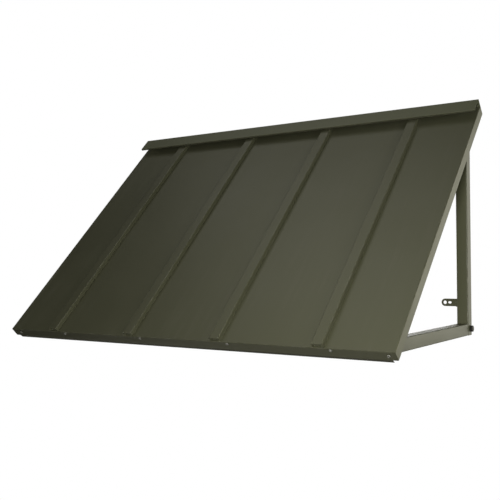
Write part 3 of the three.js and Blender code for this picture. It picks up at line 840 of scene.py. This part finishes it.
def weldPaths():
    size, inner = tube["size"], tube["inner"]
    gap, flat, end, stop = weld["inCorner"], weld["onFlat"], weld["margin"], weld["stopShort"]
    off, down = weld["offFace"], weld["offRafter"]
    corner, face, skin = inner - gap, inner + flat, inner - weld["proud"]
    across = (inner + end, tube["outer"] - end)
    head, mid, eave = boxOnRoof("head_purlin"), boxOnRoof("mid_purlin"), boxOnRoof("eave_rail")
    paths = []
    for hand in (-1, 1):
        def onFrame(x, y, z):
            return Vector((hand * x, y, z))

        def underRoof(x, y, z):
            return onRoof(hand * x, y, z)

        for y, turn in ((head[0].y, -1), (mid[0].y, -1), (mid[1].y, 1), (eave[1].y, 1)):
            paths.append([underRoof(corner, y + turn * gap, z) for z in (-size + end, -stop)])
        paths.append([underRoof(corner, y, -size - gap) for y in (-size * math.sqrt(2) + end, -end)])
        paths.append([underRoof(skin, y, -size + flat) for y in (mid[0].y + end, mid[1].y - end)])
        # post and arm run into the rafter's underside, which lies on z = y + rise
        rise = footLevel + postHeight
        postFront, armTop = -size, footLevel + size
        paths.append([onFrame(x, postFront - off, postFront + rise - down) for x in across])
        paths.append([onFrame(x, armTop - rise + down, armTop + off) for x in across])
        paths.append([onFrame(face, z - rise, z) for z in (footLevel + end, armTop - weld["armStop"])])
        low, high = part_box("wall_rail")
        for z, turn in ((low.z, -1), (high.z, 1)):
            paths.append([onFrame(corner, y, z + turn * gap) for y in (low.y + end, high.y - stop)])
        paths.append([onFrame(skin, low.y + flat, z) for z in (low.z + end, high.z - end)])
    return paths


def layWelds():
    paths = weldPaths()
    points = [p for path in paths for p in path]
    edges = [(2 * i, 2 * i + 1) for i in range(len(paths))]
    mesh = bpy.data.meshes.new("weld_beads")
    mesh.from_pydata(points, edges, [])
    piece = newObject("weld_beads", mesh)
    runTree(piece, buildWelds(), {
        "Bead Radius": weld["radius"], "Ripple": weld["ripple"], "Ripple Pitch": weld["pitch"],
        "Step": weld["step"], "Seed": weld["seed"], "Finish": materials["frame_tube"],
    })
    piece.data.shade_smooth()
    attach(piece, "root")
    print("welds:", len(paths), "runs,", len(piece.data.polygons), "faces")


layWelds()
patterns = {"screw": screwPattern(), "bolt": boltPattern(), "nut": nutPattern(), "plug": plugPattern()}
setFixings("fascia_screws", patterns["screw"], seats["fascia"], "zinc_fixings", fasciaScrews, seed=3)
setFixings("flashing_screws", patterns["screw"], seats["flashing"], "zinc_fixings", flashingScrews, seed=8)
setFixings("strap_screws", patterns["screw"], seats["strap"], "zinc_fixings",
           ["left_strap_screw", "right_strap_screw"], seed=11)
setFixings("arm_bolts", patterns["bolt"], seats["bolt"], "dark_bolts",
           ["left_arm_bolt", "right_arm_bolt"], turn=bolt["turn"], seed=2)
setFixings("arm_nuts", patterns["nut"], seats["nut"], "dark_bolts",
           ["left_arm_nut", "right_arm_nut"], turn=bolt["turn"], seed=4)
setFixings("seam_plugs", patterns["plug"], seats["plug"], "roof_sheet", [], turn=0.0)
for pattern in patterns.values():
    bpy.data.objects.remove(pattern)
print("fixings set:", sum(len(s) for s in seats.values()))

# stage, light and camera
stageLook = {
    "floorLevel": -2.1, "floorMiddle": -0.3, "floorSize": 3.2, "floorSides": 64,
    "floorColour": (0.42, 0.42, 0.42, 1), "glow": 0.88, "fadeFrom": 1.2, "fadeTo": 2.6,
}


# what the camera sees straight or through glass
def seenByCamera(tree, path):
    return mathNode(tree, "MAXIMUM", path.outputs["Is Camera Ray"], path.outputs["Is Transmission Ray"])


def makeFloor():
    middle, level = stageLook["floorMiddle"], stageLook["floorLevel"]
    bm = bmesh.new()
    bmesh.ops.create_circle(bm, cap_ends=True, radius=stageLook["floorSize"],
                            segments=stageLook["floorSides"])
    mesh = bpy.data.meshes.new("floor")
    bm.to_mesh(mesh)
    bm.free()
    mesh.transform(Matrix.Translation((0, middle, level)))
    floor = newObject("floor", mesh)
    material, tree, out = newMaterial("paleFloor")
    pale = put(tree, "ShaderNodeBsdfDiffuse")
    pale.inputs["Color"].default_value = stageLook["floorColour"]
    glow = put(tree, "ShaderNodeEmission")  # pale as the camera sees it, the shadow stays
    seen = seenByCamera(tree, put(tree, "ShaderNodeLightPath"))
    wire(tree, mathNode(tree, "MULTIPLY", seen, stageLook["glow"]), glow.inputs["Strength"])
    lit = put(tree, "ShaderNodeAddShader")
    wire(tree, pale.outputs[0], lit.inputs[0])
    wire(tree, glow.outputs[0], lit.inputs[1])
    clear = put(tree, "ShaderNodeBsdfTransparent")
    place = put(tree, "ShaderNodeTexCoord")
    offset = put(tree, "ShaderNodeVectorMath", operation="ADD")
    offset.inputs[1].default_value = (0, -middle, -level)
    wire(tree, place.outputs["Object"], offset.inputs[0])
    far = put(tree, "ShaderNodeVectorMath", operation="LENGTH")
    wire(tree, offset.outputs[0], far.inputs[0])
    fade = mapRange(tree, far.outputs["Value"], stageLook["fadeFrom"], stageLook["fadeTo"])
    mix = put(tree, "ShaderNodeMixShader")
    wire(tree, fade, mix.inputs[0])
    wire(tree, lit.outputs[0], mix.inputs[1])
    wire(tree, clear.outputs[0], mix.inputs[2])
    wire(tree, mix.outputs[0], out.inputs["Surface"])
    mesh.materials.append(material)


# the room that lights the object: heights are the Z of a direction, the drape darkens the left by its X
worldLook = {
    "ceiling": 0.05, "wall": 0.55, "wallFrom": 0.30, "wallTo": 0.0,
    "ground": 0.05, "groundFrom": -0.05, "groundTo": -0.45,
    "horizonFrom": 0.45, "horizonTo": 0.04, "horizonColour": (1.0, 0.985, 0.84, 1),
    "drape": 0.5, "drapeFrom": 0.3, "drapeTo": -0.7,
}


def makeWorld():
    world = bpy.data.worlds.new("studio")
    scene.world = world
    world.use_nodes = True
    tree = world.node_tree
    tree.nodes.clear()
    out = put(tree, "ShaderNodeOutputWorld")
    white = put(tree, "ShaderNodeBackground")
    setInputs(white, Color=(1, 1, 1, 1), Strength=1.0)
    horizon = put(tree, "ShaderNodeBackground")
    setInputs(horizon, Color=worldLook["horizonColour"], Strength=1.0)
    room = put(tree, "ShaderNodeBackground")
    path = put(tree, "ShaderNodeLightPath")
    way = put(tree, "ShaderNodeSeparateXYZ")
    wire(tree, put(tree, "ShaderNodeTexCoord").outputs["Generated"], way.inputs[0])
    low = mapRange(tree, way.outputs["Z"], worldLook["horizonFrom"], worldLook["horizonTo"])
    level = mapRange(tree, way.outputs["Z"], worldLook["wallFrom"], worldLook["wallTo"],
                     worldLook["ceiling"], worldLook["wall"])
    under = mapRange(tree, way.outputs["Z"], worldLook["groundTo"], worldLook["groundFrom"],
                     worldLook["ground"] / worldLook["wall"], 1.0)
    side = mapRange(tree, way.outputs["X"], worldLook["drapeTo"], worldLook["drapeFrom"],
                    worldLook["drape"], 1.0)
    strength = mathNode(tree, "MULTIPLY", mathNode(tree, "MULTIPLY", level, under), side)
    wire(tree, strength, room.inputs["Strength"])
    above = mapRange(tree, way.outputs["Z"], worldLook["groundTo"], worldLook["groundFrom"])
    band = mathNode(tree, "MULTIPLY", low, above)
    shiny = mathNode(tree, "MULTIPLY", path.outputs["Is Glossy Ray"], band)
    mirrored = put(tree, "ShaderNodeMixShader")
    wire(tree, shiny, mirrored.inputs[0])
    wire(tree, room.outputs[0], mirrored.inputs[1])
    wire(tree, horizon.outputs[0], mirrored.inputs[2])
    mix = put(tree, "ShaderNodeMixShader")
    wire(tree, seenByCamera(tree, path), mix.inputs[0])
    wire(tree, mirrored.outputs[0], mix.inputs[1])
    wire(tree, white.outputs[0], mix.inputs[2])
    wire(tree, mix.outputs[0], out.inputs["Surface"])


lamps = {
    "overhead": {"at": (-0.90, -0.55, 2.3), "towards": (0.05, -0.33, -0.26), "size": (1.65, 1.6),
                 "power": 11.5, "tint": (1.0, 1.0, 1.0), "spread": 180},
    "besideCamera": {"at": (1.0, -1.90, -0.34), "towards": (0.55, -0.70, -0.65), "size": (0.25, 0.25),
                     "power": 22.0, "tint": (1.0, 1.0, 1.0), "spread": 150},
    "rightRim": {"at": (1.75, 1.65, -0.14), "towards": (0.5, -0.2, -0.25), "size": (1.4, 1.2),
                 "power": 7.2, "tint": (1.0, 0.98, 0.84), "spread": 180},
    "rightWash": {"at": (2.6, -0.9, 0.3), "towards": (0.0, -0.35, -0.2), "size": (1.2, 1.2),
                  "power": 23.0, "tint": (1.0, 1.0, 1.0), "spread": 180},
    "backFill": {"at": (-1.3, 1.6, -1.08), "towards": (0.0, -0.25, -0.15), "size": (2.6, 2.0),
                 "power": 75.0, "tint": (1.0, 1.0, 1.0), "spread": 180},
}


def makeLamp(name, look):
    data = bpy.data.lights.new(name, "AREA")
    data.shape = "RECTANGLE"
    data.size, data.size_y = look["size"]
    data.energy = look["power"]
    data.color = look["tint"]
    data.spread = math.radians(look["spread"])
    lamp = newObject(name, data)
    lamp.location = look["at"]
    lamp.rotation_euler = (Vector(look["towards"]) - Vector(look["at"])).to_track_quat("-Z", "Y").to_euler()


view = {
    "eye": (1.1243, -1.9674, -0.3393), "yaw": 33.367, "pitch": 1.307, "roll": -0.259,
    "focalPixels": 751.3, "imagePixels": 500.0, "sensor": 36.0,
}


def makeCamera():
    yaw, pitch, roll = (math.radians(view[k]) for k in ("yaw", "pitch", "roll"))
    forward = Vector((-math.sin(yaw) * math.cos(pitch), math.cos(yaw) * math.cos(pitch), math.sin(pitch)))
    right = forward.cross(Vector((0, 0, 1))).normalized()
    up = right.cross(forward)
    acrossFrame = right * math.cos(roll) + up * math.sin(roll)
    upFrame = up * math.cos(roll) - right * math.sin(roll)
    data = bpy.data.cameras.new("camera")
    data.sensor_width = view["sensor"]
    data.lens = view["sensor"] * view["focalPixels"] / view["imagePixels"]
    camera = newObject("camera", data)
    facing = Matrix((acrossFrame, upFrame, -forward)).transposed().to_4x4()
    camera.matrix_world = Matrix.Translation(view["eye"]) @ facing
    scene.camera = camera


makeFloor()
makeWorld()
for name, look in lamps.items():
    makeLamp(name, look)
makeCamera()
scene.view_settings.view_transform = "Standard"
print("stage, lamps and camera set")
